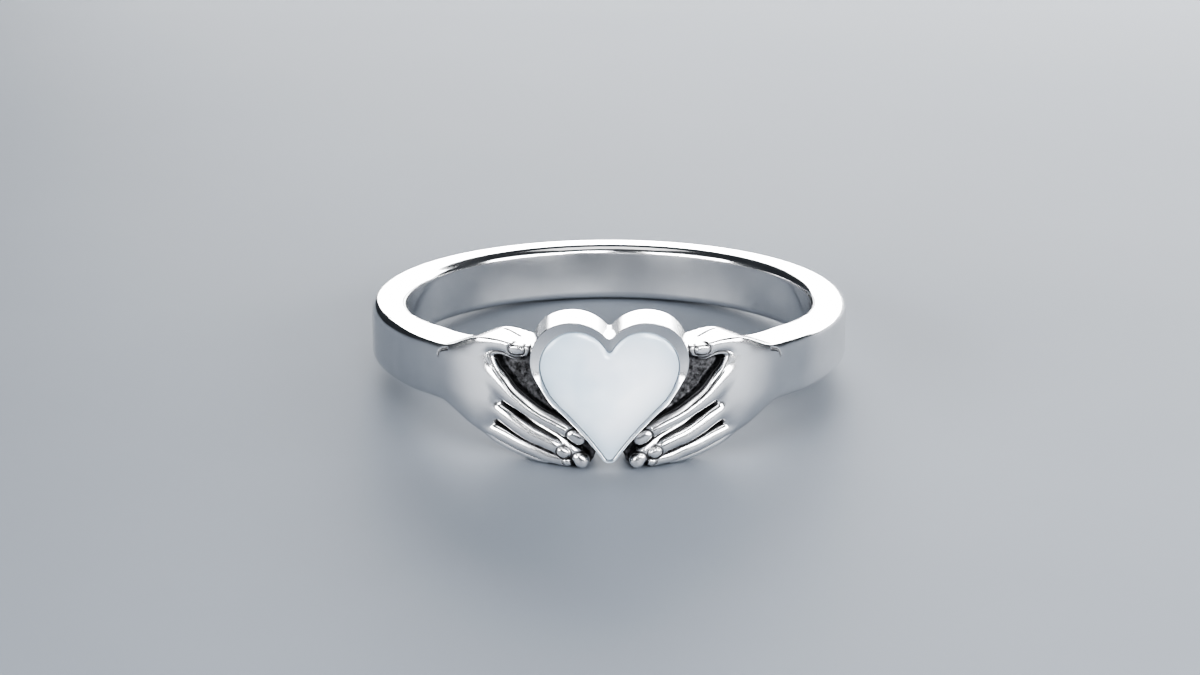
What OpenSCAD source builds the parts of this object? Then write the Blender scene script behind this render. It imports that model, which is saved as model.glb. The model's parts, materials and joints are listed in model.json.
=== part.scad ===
// A claddagh ring: two hands hold a heart-shaped stone in a cup at the front of a plain band.
// The ring is drawn about its own axis with its front at -Y, then laid down on its fingertips
// and the back of its band, the way a ring of this form rests on a table.

/* [Band] */
// Inner diameter, the finger size
bore_d = 17.3; // [15.8:0.1:19.8]
// Wall of the band between the bore and its outer face
band_wall = 1.5; // [1.3:0.05:1.8]
// Width of the band along the finger
band_w = 2.5; // [2.2:0.1:3]
// Rounding of the band's four edges
edge_r = 0.38; // [0.2:0.02:0.5]

/* [Hands] */
// Arc from the middle of the front to a wrist, along the band's outer face
hand_reach = 8; // [7:0.1:8.6]
// Height of a thumb's knuckle above the middle of the band
hand_high = 2; // [1.8:0.05:2.3]
// Depth of the longest fingertip below the middle of the band
hand_low = 3.45; // [3:0.05:3.8]
// Width of a finger
finger_w = 0.62; // [0.5:0.02:0.7]
// Height of the hands' backs above the sunk ground between hand and heart
relief_h = 0.85; // [0.6:0.05:1.1]
// Wall of the sunk ground, from the bore
ground_wall = 1.25; // [1:0.05:1.4]
// Height of the nails above their fingers
nail_rise = 0.07; // [0.04:0.01:0.12]

/* [Heart] */
// Width of the stone
stone_w = 5.58; // [5:0.02:6]
// How far each of the stone's two round lobes reaches past the middle of the heart
lobe_meet = 0.03; // [0:0.01:0.12]
// Height of the lobes' centres above the middle of the band
lobe_up = 1.26; // [0.9:0.01:1.5]
// Radius of the heart's cheeks below the lobes
cheek_r = 2.74; // [2.4:0.02:3]
// Radius of the hollow flanks that run to the point
flank_r = 14; // [10:0.5:20]
// Radius of the rounded point
point_r = 0.2; // [0.12:0.01:0.3]
// Radius of the notch between the lobes
notch_r = 0.15; // [0.08:0.01:0.22]
// Width of the cup's rim at its widest, round the lobes
rim_w = 0.5; // [0.3:0.02:0.6]
// Depth of the cup from its back to its front edge
cup_h = 2.1; // [1.8:0.05:2.4]
// Metal between the bore and the back of the cup
cup_wall = 0.7; // [0.6:0.05:0.9]
// Depth of the sloping rim
rim_slope = 0.22; // [0.1:0.02:0.3]
// Depth of the stone from its back to the edge of its dome
stone_depth = 0.9; // [0.6:0.05:1.1]
// Rise of the stone's dome above its edge
stone_dome = 0.3; // [0.15:0.05:0.5]
// Gap all round the stone in its seat
stone_gap = 0.04; // [0.02:0.01:0.08]

/* [Hidden] */
$fn = 96;
// How far one form sinks into the next where they are one casting
sink = 0.35;
bore_r = bore_d / 2;
band_r = bore_r + band_wall;
band_half = band_w / 2;
ground_r = bore_r + ground_wall;
crown_r = ground_r + relief_h;
cup_back = bore_r + cup_wall;
cup_front = cup_back + cup_h;
girdle = cup_front - rim_slope;
stone_back = girdle - stone_depth;
// Two lobes of one radius fill the stone's width
lobe_r = (stone_w / 2 + lobe_meet) / 2;
lobe_x = stone_w / 2 - lobe_r;

// Digits of one hand, a row for each section from the wrist's side to the tip
// along: share of hand_reach from the middle of the front
// up: share of hand_high above the middle of the band, or of hand_low below it
// wide: share of finger_w
// rise: share of relief_h above the sunk ground
//              along     up   wide   rise
thumb_rows = [[ 0.800,  0.52,  1.20,  0.55],
              [ 0.730,  0.64,  1.25,  0.72],
              [ 0.664,  0.76,  1.20,  0.85],
              [ 0.598,  0.84,  1.08,  0.88],
              [ 0.542,  0.83,  0.98,  0.86],
              [ 0.487,  0.79,  1.02,  0.88],
              [ 0.448,  0.81,  1.00,  0.85]];
index_rows = [[ 0.630,  0.30,  1.60,  0.82],
              [ 0.585,  0.16,  1.45,  0.94],
              [ 0.540,  0.01,  1.25,  0.99],
              [ 0.490, -0.09,  1.08,  1.00],
              [ 0.421, -0.22,  0.96,  0.97],
              [ 0.354, -0.31,  0.92,  0.93],
              [ 0.288, -0.39,  0.92,  0.90],
              [ 0.221, -0.47,  0.94,  0.88],
              [ 0.157, -0.58,  0.98,  0.85]];
middle_rows = [[ 0.531, -0.28,  0.70,  0.45],
               [ 0.443, -0.39,  0.70,  0.45],
               [ 0.354, -0.50,  0.72,  0.45],
               [ 0.266, -0.61,  0.85,  0.60],
               [ 0.200, -0.72,  1.05,  0.85],
               [ 0.140, -0.85,  1.15,  0.92]];
ring_rows = [[ 0.600, -0.29,  1.10,  0.85],
             [ 0.520, -0.37,  1.05,  0.97],
             [ 0.454, -0.47,  1.00,  0.95],
             [ 0.387, -0.56,  0.96,  0.92],
             [ 0.321, -0.62,  0.94,  0.90],
             [ 0.266, -0.69,  0.94,  0.90],
             [ 0.226, -0.76,  0.92,  0.88]];
little_rows = [[ 0.640, -0.58,  0.90,  0.55],
               [ 0.531, -0.66,  0.84,  0.60],
               [ 0.454, -0.73,  0.80,  0.60],
               [ 0.376, -0.79,  0.78,  0.58],
               [ 0.321, -0.84,  0.76,  0.58],
               [ 0.214, -0.88,  0.80,  0.62]];
heel_rows = [[ 0.700, -0.59,  0.80,  0.28],
             [ 0.598, -0.72,  0.72,  0.30],
             [ 0.531, -0.78,  0.62,  0.30],
             [ 0.443, -0.85,  0.58,  0.30],
             [ 0.376, -0.89,  0.56,  0.30],
             [ 0.321, -0.91,  0.50,  0.30]];
DIGITS = [thumb_rows, index_rows, middle_rows, ring_rows, little_rows, heel_rows];
// Height of a digit's round back as a share of half its width
arch = 0.8;
// Steps between two rows, sides of the round back, and steps and turn of the round tip
digit_steps = 2;
arch_sides = 8;
tip_steps = 3;
tip_turn = 80;
// Part of a row on each side over which a digit's direction is taken
way_step = 0.05;

// Nails, a row for each digit that has one
// digit: its place in DIGITS
// long, wide: half length and half width as shares of finger_w
//        digit   long   wide
NAILS = [[    0,  0.48,  0.37],
         [    1,  0.64,  0.42],
         [    2,  0.58,  0.48],
         [    3,  0.44,  0.38],
         [    4,  0.36,  0.31]];
nail_sides = 12;
// Outline of a nail from its foot to its top: share of its size, height from its digit's crown
// in shares of nail_rise
//               outline  height
nail_levels = [[    0.90,   -7.0],
               [    1.00,   -0.5],
               [    0.85,    0.6],
               [    0.45,    1.0]];

// Back of one hand from the band to the knuckles, a row for each section across it
// along: share of hand_reach from the middle of the front
// low, high: share of the way from the band's edge to hand_low and to hand_high
// low_rise, rise, high_rise: share of the way from the band's face to the hands' backs, at the
// lower corner, at the crown and at the upper corner
// crown: place of the crown, from the lower corner to the upper one
//              along    low   high  low_rise  rise  high_rise  crown
back_rows = [[  1.46, -0.08, -0.08,   -0.70,  -0.10,   -0.70,   0.50],
             [  1.30, -0.05, -0.05,   -0.45,   0.16,   -0.30,   0.50],
             [  1.12, -0.05,  0.00,   -0.30,   0.40,    0.05,   0.48],
             [  1.00, -0.06,  0.05,   -0.30,   0.55,    0.20,   0.46],
             [  0.91,  0.00,  0.07,   -0.32,   0.70,    0.32,   0.44],
             [  0.82,  0.19,  0.23,   -0.36,   0.84,    0.40,   0.42],
             [  0.75,  0.34,  0.52,   -0.36,   0.92,    0.44,   0.42],
             [  0.69,  0.43,  0.55,   -0.36,   0.97,    0.60,   0.44],
             [  0.64,  0.36,  0.10,   -0.20,   1.00,    0.85,   0.50],
             [  0.58,  0.16, -0.60,    0.00,   1.00,    0.90,   0.55],
             [  0.53, -0.10, -1.10,    0.20,   0.92,    0.80,   0.55],
             [  0.50, -0.38, -1.50,    0.20,   0.70,    0.60,   0.55]];
// Steps between two rows, sides across the back, and how square its crown is
back_steps = 2;
back_sides = 9;
back_round = 2.2;

// Outline of the sunk ground on one side, a row for each place along the hand
//                along    low   high
ground_rows = [[  0.000, -0.60,  0.95],
               [  0.055, -0.71,  0.95],
               [  0.088, -0.89,  0.95],
               [  0.160, -0.91,  0.95],
               [  0.230, -0.90,  0.95],
               [  0.320, -0.87,  0.93],
               [  0.440, -0.79,  0.94],
               [  0.580, -0.68,  0.96],
               [  0.700, -0.55,  0.88],
               [  0.880, -0.30,  0.58]];

// Rim of the cup round one half of the heart
// course: 0 to 1 the notch, 1 to 2 the lobe, 2 to 3 the cheek, 3 to 4 the flank, 4 to 5 the point
//             course  share of rim_w
rim_course = [[ 0.00,  0.66],
              [ 1.00,  0.66],
              [ 1.35,  0.86],
              [ 1.60,  1.00],
              [ 1.82,  0.80],
              [ 2.00,  0.54],
              [ 3.00,  0.26],
              [ 4.00,  0.12],
              [ 5.00,  0.04]];

// Stone's dome: share of the outline against share of the rise
//              across   rise
dome_rows = [[  1.000,  0.00],
             [  0.965,  0.30],
             [  0.900,  0.52],
             [  0.750,  0.77],
             [  0.500,  0.94],
             [  0.220,  1.00]];

function row_turn(along) = along * hand_reach / band_r * 180 / PI;
function row_up(up) = up < 0 ? up * hand_low : up * hand_high;
function wrap(turn, up, r) = [r * sin(turn), -r * cos(turn), up];
function outward(turn) = [sin(turn), -cos(turn), 0];

// Catmull-Rom value between the rows of a table, at a fraction of its length
function row_at(rows, i) = rows[max(0, min(len(rows) - 1, i))];
function curve_mix(a, b, c, d, f) =
    0.5 * (2 * b + (c - a) * f + (2 * a - 5 * b + 4 * c - d) * f * f
    + (3 * b - a - 3 * c + d) * f * f * f);
function smooth_row(rows, t) =
    let (i = min(floor(t), len(rows) - 2))
    curve_mix(row_at(rows, i - 1), row_at(rows, i), row_at(rows, i + 1), row_at(rows, i + 2), t - i);
function samples(rows, steps) = [for (k = [0:(len(rows) - 1) * steps]) smooth_row(rows, k / steps)];

// Middle line of a digit on the ground's surface, and its direction there
function digit_spot(row) = wrap(row_turn(row[0]), row_up(row[1]), crown_r);
function unit(v) = v / norm(v);
function digit_way(rows, t) =
    unit(digit_spot(smooth_row(rows, min(t + way_step, len(rows) - 1)))
    - digit_spot(smooth_row(rows, max(t - way_step, 0))));

// One arched section of a digit: straight walls from the sunk foot and a round back
function arch_ring(middle, out, side, half, crown) =
    let (foot = ground_r - sink, spring = crown - arch * half)
    concat(
        [middle + out * foot - side * half],
        [for (k = [0:arch_sides])
            let (a = 180 - 180 * k / arch_sides)
            middle + out * (spring + arch * half * sin(a)) + side * (half * cos(a))],
        [middle + out * foot + side * half]);

function digit_section(row, way, reach, thin) =
    let (
        turn = row_turn(row[0]),
        out = outward(turn),
        half = row[2] * finger_w / 2,
        side = unit(cross(out, way)),
        middle = [0, 0, row_up(row[1])] + way * (reach * half),
        crown = ground_r + row[3] * relief_h - half * (1 - thin))
    arch_ring(middle, out, side, half * thin, crown);

function digit_rings(rows) =
    let (
        last = len(rows) - 1,
        body = [for (k = [0:last * digit_steps])
            let (t = k / digit_steps)
            digit_section(smooth_row(rows, t), digit_way(rows, t), 0, 1)],
        tip = [for (k = [1:tip_steps])
            let (a = tip_turn * k / tip_steps)
            digit_section(rows[last], digit_way(rows, last), sin(a), cos(a))])
    concat(body, tip);

// One closed skin over rings of points that follow one another. Each end is filled with
// triangles about the mean of its points, so that an end with a hollow outline stays flat.
function mean(points) = [for (p = points) 1] * points / len(points);
module skin(rings) {
    n = len(rings[0]);
    last = len(rings) - 1;
    points = [for (ring = rings) each ring];
    ends = [mean(rings[0]), mean(rings[last])];
    first_middle = len(points);
    last_middle = first_middle + 1;
    sides = [for (k = [0:last - 1]) for (i = [0:n - 1])
        [k * n + i, k * n + (i + 1) % n, (k + 1) * n + (i + 1) % n, (k + 1) * n + i]];
    start = [for (i = [0:n - 1]) [first_middle, (i + 1) % n, i]];
    end = [for (i = [0:n - 1]) [last_middle, last * n + i, last * n + (i + 1) % n]];
    polyhedron(concat(points, ends), concat(start, sides, end), convexity = 6);
}

module digit(rows) {
    skin(digit_rings(rows));
}

// A nail is a low rounded button let into the end of its digit
module nail(row) {
    rows = DIGITS[row[0]];
    last = rows[len(rows) - 1];
    way = digit_way(rows, len(rows) - 1);
    out = outward(row_turn(last[0]));
    side = unit(cross(out, way));
    crown = ground_r + last[3] * relief_h;
    long = row[1] * finger_w;
    wide = row[2] * finger_w;
    skin([for (level = nail_levels)
        [for (k = [nail_sides:-1:1])
            let (a = 360 * k / nail_sides)
            [0, 0, row_up(last[1])] + out * (crown + level[1] * nail_rise)
            + way * (long * level[0] * cos(a))
            + side * (wide * level[0] * sin(a))]]);
}

// Section across the back of a hand: walls from a foot inside the band, and a crowned back
function back_section(row) =
    let (
        turn = row_turn(row[0]),
        low = -band_half - row[1] * (hand_low - band_half),
        high = band_half + row[2] * (hand_high - band_half),
        radius = function (share) band_r + share * (crown_r - band_r),
        crown_up = low + row[6] * (high - low),
        foot = bore_r + sink)
    concat(
        [wrap(turn, high, foot)],
        [for (k = [back_sides:-1:0])
            let (
                up = low + (high - low) * k / back_sides,
                edge = up < crown_up ? row[3] : row[5],
                span = up < crown_up ? crown_up - low : high - crown_up,
                away = min(1, abs(up - crown_up) / span),
                share = edge + (row[4] - edge) * pow(1 - pow(away, back_round), 1 / back_round))
            wrap(turn, up, radius(share))],
        [wrap(turn, low, foot)]);

module hand_back() {
    skin([for (row = samples(back_rows, back_steps)) back_section(row)]);
}

module hand() {
    hand_back();
    for (rows = DIGITS) digit(rows);
    for (row = NAILS) nail(row);
}

module band() {
    rotate_extrude() {
        translate([bore_r, -band_half + edge_r])
            square([band_wall, band_w - 2 * edge_r]);
        translate([bore_r + edge_r, -band_half])
            square([band_wall - 2 * edge_r, band_w]);
        for (r = [bore_r + edge_r, band_r - edge_r])
            for (z = [-band_half + edge_r, band_half - edge_r])
                translate([r, z]) circle(edge_r);
    }
}

// Sunk ground that joins the two hands behind the heart, with the bore's own wall at its back
module ground() {
    lower = [for (row = ground_rows) [ground_r * sin(row_turn(row[0])), row_up(row[1])]];
    upper = [for (row = ground_rows) [ground_r * sin(row_turn(row[0])), row_up(row[2])]];
    last = len(ground_rows) - 1;
    outline = concat(
        lower,
        [for (i = [last:-1:0]) upper[i]],
        [for (i = [1:last]) [-upper[i][0], upper[i][1]]],
        [for (i = [last:-1:1]) [-lower[i][0], lower[i][1]]]);
    tall = 2 * (hand_low + hand_high);
    intersection() {
        difference() {
            cylinder(r = ground_r, h = tall, center = true);
            cylinder(r = bore_r, h = tall + 1, center = true);
        }
        rotate([90, 0, 0]) linear_extrude(2 * ground_r) polygon(outline);
    }
}

// Half outline of the heart from the notch to the point, as arcs that meet without a corner.
// Each point is [x, z, normal x, normal z, course].
function arc(cx, cz, r, from, to, steps, course, bend = 1) =
    [for (k = [0:steps - 1])
        let (a = from + (to - from) * k / steps)
        [cx + r * cos(a), cz + r * sin(a), bend * cos(a), bend * sin(a), course + k / steps]];

// Directions below level where the lobe runs into the cheek, and the cheek into the flank
lobe_to = 13;
cheek_to = 46;
// Steps round each arc
notch_steps = 2;
lobe_steps = 14;
cheek_steps = 4;
flank_steps = 4;
point_steps = 3;
cheek_x = lobe_x + (lobe_r - cheek_r) * cos(lobe_to);
cheek_z = lobe_up - (lobe_r - cheek_r) * sin(lobe_to);
flank_x = cheek_x + (cheek_r + flank_r) * cos(cheek_to);
flank_z = cheek_z - (cheek_r + flank_r) * sin(cheek_to);
flank_to = acos(flank_x / (flank_r + point_r));
point_z = flank_z + (flank_r + point_r) * sin(flank_to);
heart_low = point_z - point_r;

// Half outline set outward by an even width and by shares of the rim. The notch stays a
// hollow of its own radius between the widened lobes.
function heart_half(out, rim) =
    let (
        reach = lobe_r + out + rim * lookup(0, rim_course) + notch_r,
        notch_z = lobe_up + sqrt(reach * reach - lobe_x * lobe_x),
        notch_to = acos(lobe_x / reach),
        notch = arc(0, notch_z, notch_r, 270, 360 - notch_to, notch_steps, 0, -1),
        rest = concat(
            arc(lobe_x, lobe_up, lobe_r, 180 - notch_to, -lobe_to, lobe_steps, 1),
            arc(cheek_x, cheek_z, cheek_r, -lobe_to, -cheek_to, cheek_steps, 2),
            arc(flank_x, flank_z, flank_r, 180 - cheek_to, 180 - flank_to, flank_steps, 3, -1),
            arc(0, point_z, point_r, -flank_to, -90, point_steps, 4),
            [[0, point_z - point_r, 0, -1, 5]]))
    concat(
        [for (p = notch) [p[0], p[1]]],
        [for (p = rest)
            let (w = out + rim * lookup(p[4], rim_course))
            [p[0] + w * p[2], p[1] + w * p[3]]]);

function mirrored(half_points) = concat(
    half_points,
    [for (i = [len(half_points) - 2:-1:1]) [-half_points[i][0], half_points[i][1]]]);
function heart_outline(out, rim = 0) = mirrored(heart_half(out, rim));
function at_depth(outline, depth) = [for (p = outline) [p[0], -depth, p[1]]];

module heart_cup() {
    rim = heart_outline(stone_gap, rim_w);
    seat = heart_outline(stone_gap);
    skin([
        at_depth(rim, cup_back),
        at_depth(rim, cup_front),
        at_depth(seat, girdle),
        at_depth(seat, stone_back - stone_gap)]);
}

module stone_form() {
    outline = heart_outline(0);
    middle = [0, lobe_up - lobe_r / 2];
    skin(concat(
        [at_depth(outline, stone_back)],
        [for (row = dome_rows)
            at_depth(
                [for (p = outline) middle + (p - middle) * row[0]],
                girdle + stone_dome * row[1])]));
}

// Rest pose: the ring tips back until the longest fingertip and the back of the band both touch
longest = digit_rings(middle_rows);
function front_low(tilt) =
    min([for (ring = longest) for (p = ring) -p[1] * sin(tilt) + p[2] * cos(tilt)]);
function back_low(tilt) =
    -(band_r - edge_r) * sin(tilt) - (band_half - edge_r) * cos(tilt) - edge_r;
function settled(tilt, tries) =
    tries == 0 ? tilt
    : settled(tilt + atan((back_low(tilt) - front_low(tilt)) / (crown_r + band_r)), tries - 1);
// A first guess at the tilt, and how often it is bettered
tilt_guess = 6;
tilt_tries = 8;
rest_tilt = settled(tilt_guess, tilt_tries);
rest_lift = -back_low(rest_tilt);
rest_front = cup_front * cos(rest_tilt) - heart_low * sin(rest_tilt);
rest_rear = (band_r - edge_r) * cos(rest_tilt) + (band_half - edge_r) * sin(rest_tilt) + edge_r;
rest_shift = (rest_front - rest_rear) / 2;

module at_rest() {
    translate([0, rest_shift, rest_lift]) rotate([-rest_tilt, 0, 0]) children();
}

module ring_casting() {
    color("silver") at_rest() {
        band();
        ground();
        hand();
        mirror([1, 0, 0]) hand();
        heart_cup();
    }
}

module heart_stone() {
    color("lightsteelblue") at_rest() stone_form();
}

ring_casting();
heart_stone();
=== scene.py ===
import json
import math

import bpy
import numpy as np
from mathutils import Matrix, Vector


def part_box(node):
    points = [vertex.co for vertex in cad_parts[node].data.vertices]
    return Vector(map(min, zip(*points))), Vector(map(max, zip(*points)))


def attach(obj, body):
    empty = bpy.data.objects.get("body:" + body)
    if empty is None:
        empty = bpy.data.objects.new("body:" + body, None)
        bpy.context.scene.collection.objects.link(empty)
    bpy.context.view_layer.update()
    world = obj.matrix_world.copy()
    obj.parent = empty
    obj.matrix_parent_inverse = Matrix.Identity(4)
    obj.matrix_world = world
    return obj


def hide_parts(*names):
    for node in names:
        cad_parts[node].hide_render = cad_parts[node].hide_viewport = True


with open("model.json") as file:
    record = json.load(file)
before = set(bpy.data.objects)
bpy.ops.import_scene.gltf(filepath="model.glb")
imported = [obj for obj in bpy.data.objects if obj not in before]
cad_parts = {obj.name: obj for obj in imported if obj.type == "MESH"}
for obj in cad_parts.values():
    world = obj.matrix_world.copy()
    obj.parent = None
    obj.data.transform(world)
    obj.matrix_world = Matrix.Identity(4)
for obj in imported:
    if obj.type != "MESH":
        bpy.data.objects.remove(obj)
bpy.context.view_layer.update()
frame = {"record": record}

MM = 0.001

# Sizes in millimetres, as in the CAD source
BORE_R = 8.65
BAND_R = 10.15
BAND_HALF = 1.25
EDGE_R = 0.38
GROUND_R = 9.9
CUP_BACK = 9.35
CUP_FRONT = 11.45
GIRDLE = 11.23
STONE_BACK = 10.33
STONE_DOME = 0.3
# Gap round the stone, which the rim is measured from, and the lesser one at the seat's own wall
STONE_GAP = 0.04
SEAT_GAP = 0.018
STONE_HALF = 2.79
LOBE_R = 1.41
LOBE_X = STONE_HALF - LOBE_R
LOBE_UP = 1.26
CHEEK_R = 2.74
FLANK_R = 14.0
POINT_R = 0.2
NOTCH_R = 0.15
RIM_W = 0.5
LOBE_TO = math.radians(13)
CHEEK_TO = math.radians(46)

# Lengths along the hands, s, are measured round an arc of this radius
ARC_R = 10.4
# Between these lengths the band grows from the ground's radius to its own
BAND_FROM = 5.0
BAND_TO = 5.6

# The fields below take a place on the ring as s, its length from the middle of the front, z, its
# height above the middle of the band, and r, its radius. A field is below 0 inside its form.
# This value stands for a place that lies well outside.
FAR = 9.0

# Widths over which forms run into one another
GROUND_RUN = 0.10
BACK_RUN = 0.22
DIGIT_RUN = 0.14
TOP_RUN = 0.06
GROUND_EDGE_RUN = 0.12
# How far behind the ground's face a digit may reach
DIGIT_ROOT = 0.6

# Digits, a row for each place from the palm to the tip: degrees from the middle of the front,
# height above the middle of the band, half width, and radius of the crown
THUMB = [(36.1, 1.10, 0.42, 10.38),
         (33.0, 1.34, 0.45, 10.52),
         (30.0, 1.56, 0.46, 10.62),
         (27.0, 1.70, 0.31, 10.66),
         (24.5, 1.70, 0.30, 10.64),
         (22.3, 1.61, 0.33, 10.66),
         (19.4, 1.57, 0.30, 10.60)]
INDEX = [(29.0, 0.45, 0.62, 10.64),
         (26.8, 0.22, 0.54, 10.72),
         (24.6, -0.08, 0.42, 10.75),
         (22.1, -0.44, 0.31, 10.76),
         (19.0, -0.82, 0.245, 10.74),
         (16.0, -1.14, 0.225, 10.71),
         (13.0, -1.40, 0.225, 10.68),
         (10.0, -1.67, 0.25, 10.66),
         (6.9, -2.02, 0.29, 10.62)]
MIDDLE = [(24.0, -0.97, 0.20, 10.14),
          (20.0, -1.35, 0.21, 10.15),
          (16.0, -1.73, 0.22, 10.18),
          (12.0, -2.10, 0.26, 10.32),
          (9.0, -2.48, 0.32, 10.58),
          (6.4, -2.93, 0.35, 10.66)]
RING = [(27.1, -1.01, 0.42, 10.62),
        (23.5, -1.31, 0.38, 10.71),
        (20.5, -1.65, 0.35, 10.70),
        (17.5, -1.96, 0.335, 10.68),
        (14.5, -2.18, 0.315, 10.66),
        (12.0, -2.38, 0.295, 10.66),
        (10.2, -2.60, 0.29, 10.64)]
LITTLE = [(28.9, -1.92, 0.29, 10.44),
          (24.0, -2.19, 0.30, 10.50),
          (20.5, -2.44, 0.29, 10.50),
          (17.0, -2.66, 0.275, 10.48),
          (14.5, -2.84, 0.255, 10.46),
          (9.7, -3.03, 0.24, 10.42)]
HEEL = [(31.6, -2.00, 0.24, 10.12),
        (27.0, -2.44, 0.22, 10.16),
        (24.0, -2.66, 0.19, 10.16),
        (20.0, -2.90, 0.18, 10.16),
        (17.0, -3.04, 0.17, 10.16),
        (14.5, -3.11, 0.155, 10.16)]
# The sloping side of the index and of the web, which goes on a little way under the thumb
SIDE = [(27.4, 1.16, 0.17, 10.60),
        (26.1, 0.72, 0.17, 10.62),
        (23.9, 0.25, 0.18, 10.62),
        (21.9, -0.17, 0.18, 10.62),
        (19.0, -0.58, 0.18, 10.62),
        (15.9, -0.96, 0.18, 10.61),
        (12.2, -1.29, 0.18, 10.59),
        (8.6, -1.64, 0.17, 10.56),
        (6.4, -1.90, 0.15, 10.52)]
SIDE_TOP = [(27.4, 1.28, 0.17, 10.60),
            (26.6, 1.36, 0.17, 10.60),
            (24.9, 1.40, 0.17, 10.58),
            (23.3, 1.34, 0.15, 10.56),
            (21.7, 1.23, 0.11, 10.50),
            (20.4, 1.22, 0.07, 10.40)]

# How each digit is joined on: its rows, the squareness of its section, the height of its round
# back as a share of half its width, and the width over which it runs into the digits before it
DIGITS = [(INDEX, 2.3, 0.75, 0.05),
          (RING, 2.2, 0.90, 0.05),
          (MIDDLE, 2.2, 0.90, 0.05),
          (LITTLE, 2.2, 0.90, 0.05),
          (HEEL, 2.2, 1.00, 0.05),
          (THUMB, 2.6, 0.90, 0.15),
          (SIDE, 1.7, 1.60, 0.04),
          (SIDE_TOP, 1.7, 1.60, 0.04)]

# Back of the hand from the band to the knuckles: degrees, lower edge, upper edge, height of the
# crown, radius of the crown, of the lower edge and of the upper edge, and squareness
BACK = [(68.0, -1.02, 1.10, 0.10, 9.95, 9.55, 9.55, 3.2),
        (60.0, -1.10, 1.20, 0.10, 10.18, 9.80, 9.85, 3.2),
        (52.0, -1.14, 1.30, 0.10, 10.36, 9.95, 10.08, 2.9),
        (46.0, -1.14, 1.38, 0.08, 10.46, 9.97, 10.20, 2.7),
        (42.0, -1.22, 1.44, 0.02, 10.55, 9.96, 10.28, 2.5),
        (38.0, -1.56, 1.56, -0.17, 10.64, 9.93, 10.34, 2.4),
        (35.0, -1.88, 1.76, -0.32, 10.69, 9.93, 10.38, 2.3),
        (32.0, -2.14, 1.96, -0.45, 10.73, 9.95, 10.42, 2.2),
        (29.6, -2.14, 2.02, -0.55, 10.74, 10.00, 10.44, 2.2),
        (28.2, -1.98, 1.70, -0.60, 10.73, 10.08, 10.44, 2.2),
        (27.2, -1.80, 1.15, -0.60, 10.70, 10.10, 10.42, 2.2),
        (26.0, -1.55, 0.75, -0.55, 10.62, 10.05, 10.36, 2.2),
        (24.6, -1.15, 0.45, -0.45, 10.45, 9.95, 10.20, 2.2),
        (23.0, -0.80, 0.20, -0.35, 10.10, 9.80, 9.95, 2.2)]

# Sunk ground behind the heart and between the hands: degrees, lower edge
GROUND_LOW = [(0.0, -2.07),
              (2.5, -2.42),
              (4.0, -3.05),
              (7.2, -3.12),
              (10.4, -3.10),
              (14.5, -3.00),
              (19.9, -2.73),
              (26.2, -2.35),
              (31.6, -1.95),
              (39.7, -1.15)]

# Flat top of ground, thumb and wrist: degrees, height
TOP = [(0.0, 1.86),
       (15.0, 1.80),
       (18.3, 1.77),
       (20.3, 1.79),
       (23.1, 1.87),
       (25.9, 1.94),
       (28.3, 1.95),
       (30.7, 1.89),
       (33.3, 1.74),
       (35.2, 1.59),
       (37.2, 1.43),
       (39.4, 1.32),
       (41.6, 1.28),
       (46.0, 1.26),
       (54.0, 1.25),
       (68.0, 1.25)]

# Nails: degrees, height, half length, half width, and degrees by which the long axis runs down
NAILS = [(20.8, 1.59, 0.30, 0.215, 4),
         (7.2, -1.98, 0.40, 0.26, 31),
         (10.1, -2.61, 0.27, 0.235, 30),
         (6.2, -2.93, 0.36, 0.30, 25),
         (9.3, -3.04, 0.22, 0.18, 12)]
NAIL_RISE = 0.05
NAIL_LINE = 0.05
NAIL_SQUARE = 2.3
# Nails and lines are carved only outside these radii, between which their depth grows
CARVE_FROM = 10.2
CARVE_TO = 10.4

# Chased lines: the edge between a hand's face and the side of its web, and the crease of a cuff
WEB_LINE = [(17.6, 1.46), (18.6, 1.30), (20.0, 1.23), (21.7, 1.23), (23.3, 1.36), (24.9, 1.42),
            (26.6, 1.38), (27.3, 1.20), (26.0, 0.70), (23.8, 0.23), (21.8, -0.19), (19.0, -0.60),
            (15.9, -0.98), (12.2, -1.31), (9.6, -1.56)]
CUFF_LINE = [(41.7, 0.80), (41.4, 0.98), (40.4, 1.10), (39.0, 1.18)]
LINE_DEEP = 0.025
LINE_HALF = 0.045

# A dark streak painted on the flat top of each thumb: both ends, seen from above, half its width,
# and its strength
STREAK = ((3.62, -8.75), (4.28, -7.95))
STREAK_HALF = 0.07
STREAK_STRENGTH = 1.5

# Rim of the cup round one half of the heart: course, share of RIM_W. The course runs from 0 to 1
# round the notch, to 2 round the lobe, to 3 round the cheek, to 4 along the flank and to 5 round
# the point.
RIM = [(0.0, 0.66),
       (1.0, 0.66),
       (1.35, 0.86),
       (1.60, 1.0),
       (1.82, 0.80),
       (2.0, 0.54),
       (3.0, 0.26),
       (4.0, 0.12),
       (5.0, 0.04)]
COURSE_STEPS = (6, 60, 26, 26, 10)
# Rounding of the rim's outer edge, and the raised lip at the stone
RIM_ROUND = 0.05
ROUND_STEPS = 4
LIP_HIGH = 0.03
LIP_W = 0.035


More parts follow.
